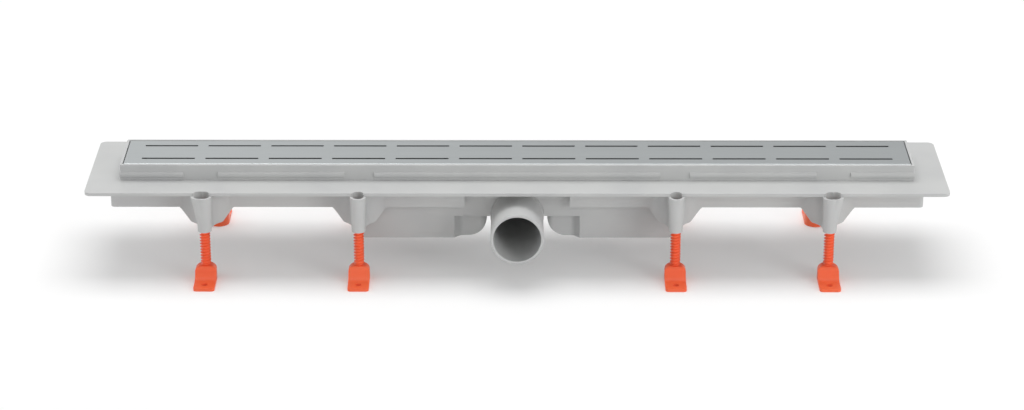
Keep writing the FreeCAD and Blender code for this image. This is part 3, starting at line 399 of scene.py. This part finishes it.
@dataclass(frozen=True)
class Studio:
    """Camera, floor, lamps and surroundings. None of it belongs to the channel."""

    camera_place: tuple[float, float, float] = (-0.0049, -2.6208, 1.1692)
    camera_tilt_deg: float = 66.83
    camera_roll_deg: float = 0.06
    lens_mm: float = 103.71
    sensor_mm: float = 36.0
    clip: tuple[float, float] = (0.1, 50.0)
    floor_half: float = 8.0
    room_light: float = 0.54
    mirrored_left: float = 0.96
    painted_dim_reflection_right: float = 0.70  # painted reflection: only reflections see the room this dim on the right, which paints the cover darker there
    painted_dimming_edge: tuple[float, float] = (-0.10, 0.0)  # X of the directions between which the painted reflection dims
    softboxes: tuple[Softbox, ...] = (
        Softbox("overhead softbox", (0.0, 0.5, 2.3), (2.2, 1.4), 29.0, (0.0, 0.0, 0.0)),
        Softbox("right softbox", (2.2, -1.9, 0.8), (1.2, 1.2), 21.0, (0.0, 0.0, 0.05)),
        Softbox("left softbox", (-2.3, 0.1, 0.6), (1.0, 0.8), 7.0, (-0.2, 0.0, 0.03)),
    )

    def build(self) -> None:
        """Set up the whole studio."""
        self.add_camera()
        self.add_floor()
        for softbox in self.softboxes:
            softbox.build()
        self.add_surroundings()
        bpy.context.scene.view_settings.view_transform = "Standard"

    def add_camera(self) -> None:
        """Add a long-lens camera that looks down on the channel's front."""
        lens = bpy.data.cameras.new("camera")
        lens.lens = self.lens_mm
        lens.sensor_width = self.sensor_mm
        lens.clip_start, lens.clip_end = self.clip
        camera = bpy.data.objects.new("camera", lens)
        camera.location = self.camera_place
        tilt = Euler((math.radians(self.camera_tilt_deg), 0.0, 0.0)).to_matrix()
        roll = Euler((0.0, 0.0, math.radians(self.camera_roll_deg))).to_matrix()
        camera.rotation_euler = (tilt @ roll).to_euler()
        bpy.context.scene.collection.objects.link(camera)
        bpy.context.scene.camera = camera

    def add_floor(self) -> None:
        """Add the floor that the feet stand on at rest."""
        half = self.floor_half
        mesh = bpy.data.meshes.new("floor")
        mesh.from_pydata([(-half, -half, 0), (half, -half, 0), (half, half, 0), (-half, half, 0)], [],
                         [(0, 1, 2, 3)])
        floor = bpy.data.objects.new("floor", mesh)
        mesh.materials.append(StudioPaper().build())
        bpy.context.scene.collection.objects.link(floor)

    def add_surroundings(self) -> None:
        """Fill the room with even light, show it as white, and paint a dimmer reflection for metal on the
        right.
        """
        world = bpy.data.worlds.new("studio")
        world.use_nodes = True
        tree = world.node_tree
        tree.nodes.clear()
        seen = seen_by(tree, "Is Camera Ray", "Is Transmission Ray")
        plain = add_range(tree, seen, (0.0, 1.0), (self.room_light, 1.0))
        way = add_node(tree, "ShaderNodeSeparateXYZ", None,
                       {0: add_node(tree, "ShaderNodeTexCoord").outputs["Generated"]})
        # Painted reflection: glossy rays see the room dimmer towards the right, so the cover is painted
        # darker on its right.
        painted_reflection_dimming = add_range(tree, way.outputs["X"], self.painted_dimming_edge,
                           (self.mirrored_left, self.painted_dim_reflection_right), "SMOOTHSTEP")
        strength = add_node(tree, "ShaderNodeMix", {"data_type": "FLOAT"},
                            {"Factor": seen_by(tree, "Is Glossy Ray"), "A": plain, "B": painted_reflection_dimming})
        sky = add_node(tree, "ShaderNodeBackground", None,
                       {"Color": WHITE, "Strength": strength.outputs["Result"]})
        add_node(tree, "ShaderNodeOutputWorld", None, {"Surface": sky.outputs["Background"]})
        bpy.context.scene.world = world


class ThreadTree:
    """Geometry tree that rolls a flat grid into a rod with a thread, a neck and a snap head."""

    NAME = "rolled thread"
    LENGTHS = ("Low", "High", "Across", "Along", "Crest", "Depth", "Pitch", "Chamfer", "Neck", "Head",
               "Head Height", "Neck Height")
    COUNTS = ("Around", "Rows")
    FLANK = (0.40, 0.86)  # where a flank starts and ends, from mid-root (0) to mid-crest (1)
    WELD = 0.00001

    def __init__(self) -> None:
        """Start the tree with its inputs and its output."""
        self.tree = bpy.data.node_groups.new(self.NAME, "GeometryNodeTree")
        sockets = [(name, "NodeSocketFloat") for name in self.LENGTHS]
        sockets += [(name, "NodeSocketInt") for name in self.COUNTS]
        sockets.append(("Finish", "NodeSocketMaterial"))
        for name, kind in sockets:
            self.tree.interface.new_socket(name, in_out="INPUT", socket_type=kind)
        self.tree.interface.new_socket("Geometry", in_out="OUTPUT", socket_type="NodeSocketGeometry")
        self.given = add_node(self.tree, "NodeGroupInput").outputs

    def step(self, operation: str, first: Amount, second: Amount = 0.0,
             third: Amount = 0.0) -> bpy.types.NodeSocket:
        """Add one step of arithmetic.

        Args:
            operation: Blender's name of the operation.
            first: First constant or output socket.
            second: Second constant or output socket.
            third: Third constant or output socket.

        Returns:
            The result.
        """
        return add_node(self.tree, "ShaderNodeMath", {"operation": operation},
                        {0: first, 1: second, 2: third}).outputs[0]

    def pick(self, test: Amount, chosen: Amount, otherwise: Amount) -> bpy.types.NodeSocket:
        """Choose one of two values.

        Args:
            test: One to take the chosen value, and zero to take the other.
            chosen: Value where the test is one.
            otherwise: Value where the test is zero.

        Returns:
            The value.
        """
        return self.step("ADD", otherwise, self.step(
            "MULTIPLY", test, self.step("SUBTRACT", chosen, otherwise)))

    def thread_radius(self, level: Amount, turn: Amount) -> bpy.types.NodeSocket:
        """Work out the thread's radius, with the chamfer at the rod's upper end.

        Args:
            level: Height above the floor.
            turn: Share of a turn.

        Returns:
            The radius.
        """
        given, step = self.given, self.step
        # A right-hand thread climbs as it turns counter-clockwise, seen from above.
        phase = step("FRACT", step("SUBTRACT", step("DIVIDE", level, given["Pitch"]), turn))
        flank = step("SUBTRACT", 1.0, step("MULTIPLY", step("ABSOLUTE", step("SUBTRACT", phase, 0.5)), 2.0))
        ridge = add_range(self.tree, flank, self.FLANK, (0.0, 1.0))
        root = step("SUBTRACT", given["Crest"], given["Depth"])
        thread = step("ADD", root, step("MULTIPLY", ridge, given["Depth"]))
        below_top = step("SUBTRACT", given["High"], level)
        cone = step("ADD", step("SUBTRACT", given["Crest"], given["Chamfer"]), below_top)
        return step("MINIMUM", thread, cone)

    def build(self) -> bpy.types.NodeTree:
        """Roll the grid, close its ends and give it its finish.

        Returns:
            The finished tree.
        """
        given, step = self.given, self.step
        grid = add_node(self.tree, "GeometryNodeMeshGrid", None,
                        {"Size X": 1.0, "Size Y": 1.0, "Vertices X": given["Around"],
                         "Vertices Y": given["Rows"]})
        spot = add_node(self.tree, "ShaderNodeSeparateXYZ", None,
                        {0: add_node(self.tree, "GeometryNodeInputPosition").outputs[0]})
        turn = step("ADD", spot.outputs["X"], 0.5)
        share = step("ADD", spot.outputs["Y"], 0.5)
        # The first and last rows close the ends; the rows between them climb from end to end.
        row = step("DIVIDE", 1.0, step("SUBTRACT", given["Rows"], 1.0))
        span = step("SUBTRACT", 1.0, step("MULTIPLY", row, 2.0))
        climb = step("DIVIDE", step("SUBTRACT", share, row), span)
        climb = step("MINIMUM", step("MAXIMUM", climb, 0.0), 1.0)
        height = step("MULTIPLY", climb, step("SUBTRACT", given["High"], given["Low"]))
        level = step("ADD", height, given["Low"])
        above_head = step("GREATER_THAN", height, given["Head Height"])
        above_neck = step("GREATER_THAN", height, step("ADD", given["Head Height"], given["Neck Height"]))
        plain = self.pick(above_head, given["Neck"], given["Head"])
        radius = self.pick(above_neck, self.thread_radius(level, turn), plain)
        between_ends = step("COMPARE", share, 0.5, step("SUBTRACT", 0.5, step("MULTIPLY", row, 0.5)))
        radius = step("MULTIPLY", radius, between_ends)
        angle = step("MULTIPLY", turn, 2 * math.pi)
        across = step("ADD", step("MULTIPLY", radius, step("COSINE", angle)), given["Across"])
        along = step("ADD", step("MULTIPLY", radius, step("SINE", angle)), given["Along"])
        rolled = add_node(self.tree, "ShaderNodeCombineXYZ", None, {0: across, 1: along, 2: level})
        moved = add_node(self.tree, "GeometryNodeSetPosition", None,
                         {"Geometry": grid.outputs["Mesh"], "Position": rolled.outputs[0]})
        sealed = add_node(self.tree, "GeometryNodeMergeByDistance", None,
                          {"Geometry": moved.outputs[0], "Distance": self.WELD})
        real = add_node(self.tree, "GeometryNodeRealizeInstances", None, {0: sealed.outputs[0]})
        painted = add_node(self.tree, "GeometryNodeSetMaterial", None,
                           {"Geometry": real.outputs[0], "Material": given["Finish"]})
        add_node(self.tree, "NodeGroupOutput", None, {0: painted.outputs[0]})
        return self.tree


@dataclass(frozen=True)
class ThreadedRod:
    """One leg's rod: a right-hand thread, a chamfered upper end, a plain neck and a snap head."""

    side: Side
    place: Place
    pitch_mm: float = 3.0
    thread_depth_mm: float = 1.75
    crest_mm: float = 5.0
    chamfer_mm: float = 1.0
    neck_mm: float = 3.2
    head_mm: float = 3.8
    head_height_mm: float = 4.0
    neck_height_mm: float = 3.8
    around: int = 40
    rows_per_turn: int = 12

    @property
    def node(self) -> str:
        """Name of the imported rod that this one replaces."""
        return f"leg_rod_{self.side.value}_{self.place.value}"

    @property
    def body(self) -> str:
        """Body that the rod moves with."""
        return f"rod_{self.side.value}_{self.place.value}"

    def sizes(self, finish: bpy.types.Material) -> dict:
        """Work out what the thread tree is given for this rod.

        Args:
            finish: The rod's material.

        Returns:
            A value for each input of the tree.
        """
        low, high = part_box(self.node)
        axis = (low + high) / 2
        turns = (high.z - low.z) / (self.pitch_mm * MM)
        end_rows = 3  # one more row than spaces, and one at each end that closes it
        return {"Low": low.z, "High": high.z, "Across": axis.x, "Along": axis.y,
                "Crest": self.crest_mm * MM, "Depth": self.thread_depth_mm * MM,
                "Pitch": self.pitch_mm * MM, "Chamfer": self.chamfer_mm * MM,
                "Neck": self.neck_mm * MM, "Head": self.head_mm * MM,
                "Head Height": self.head_height_mm * MM, "Neck Height": self.neck_height_mm * MM,
                "Around": self.around + 1, "Rows": int(turns * self.rows_per_turn) + end_rows,
                "Finish": finish}

    def roll(self, finish: bpy.types.Material) -> bpy.types.Mesh:
        """Roll the rod and keep it as a plain mesh.

        Args:
            finish: The rod's material.

        Returns:
            The mesh.
        """
        carrier = bpy.data.objects.new("thread carrier", bpy.data.meshes.new("thread carrier"))
        bpy.context.scene.collection.objects.link(carrier)
        tree = bpy.data.node_groups.get(ThreadTree.NAME) or ThreadTree().build()
        rolled = carrier.modifiers.new("thread", "NODES")
        rolled.node_group = tree
        sizes = self.sizes(finish)
        for item in tree.interface.items_tree:
            if item.in_out == "INPUT":
                rolled[item.identifier] = sizes[item.name]
        bpy.context.view_layer.update()
        graph = bpy.context.evaluated_depsgraph_get()
        mesh = bpy.data.meshes.new_from_object(carrier.evaluated_get(graph))
        bpy.data.objects.remove(carrier)
        for polygon in mesh.polygons:
            polygon.use_smooth = True
        return mesh

    def build(self, finish: bpy.types.Material) -> None:
        """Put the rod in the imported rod's place.

        Args:
            finish: The rod's material.
        """
        rod = bpy.data.objects.new(f"threaded_rod_{self.side.value}_{self.place.value}", self.roll(finish))
        bpy.context.scene.collection.objects.link(rod)
        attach(rod, self.body)
        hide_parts(self.node)
        LOG.info("%s has %d faces", rod.name, len(rod.data.polygons))


@dataclass(frozen=True)
class LevellingLeg:
    """One leg: a foot with its screw hole, and the threaded rod that turns in it."""

    side: Side
    place: Place

    def build(self, finish: bpy.types.Material) -> None:
        """Finish the foot and make the rod.

        Args:
            finish: Material of both.
        """
        dress(f"leg_foot_{self.side.value}_{self.place.value}", finish)
        ThreadedRod(self.side, self.place).build(finish)


@dataclass(frozen=True)
class Channel:
    """The mouldings, the trap insert with its seal, and the cover that lies in the collar."""

    moulding: MouldedPlastic = MouldedPlastic("grey moulded polypropylene", "#C7C8C7", "#C0C1C1")
    insert: MouldedPlastic = MouldedPlastic("grey moulded ABS", "#B9BBBC", "#B1B3B5", roughness=0.38)
    cover: BrushedStainless = BrushedStainless()
    seal: MouldedRubber = MouldedRubber()

    def build(self) -> None:
        """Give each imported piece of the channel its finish."""
        grey = self.moulding.build()
        dress("channel_body", grey)
        dress("trap_housing", grey)
        dress("trap_insert", self.insert.build())
        dress("insert_seal", self.seal.build())
        dress("cover_grate", self.cover.build())


def main() -> None:
    """Build the studio, the channel and its eight legs."""
    logging.basicConfig(level=logging.INFO, format="%(name)s: %(message)s")
    Studio().build()
    Channel().build()
    orange = MouldedPlastic("orange moulded polypropylene", "#FF7145", "#FC693E", roughness=0.40,
                            grain_mm=0.7).build()
    for side in Side:
        for place in Place:
            LevellingLeg(side, place).build(orange)


if __name__ == "__main__":
    main()
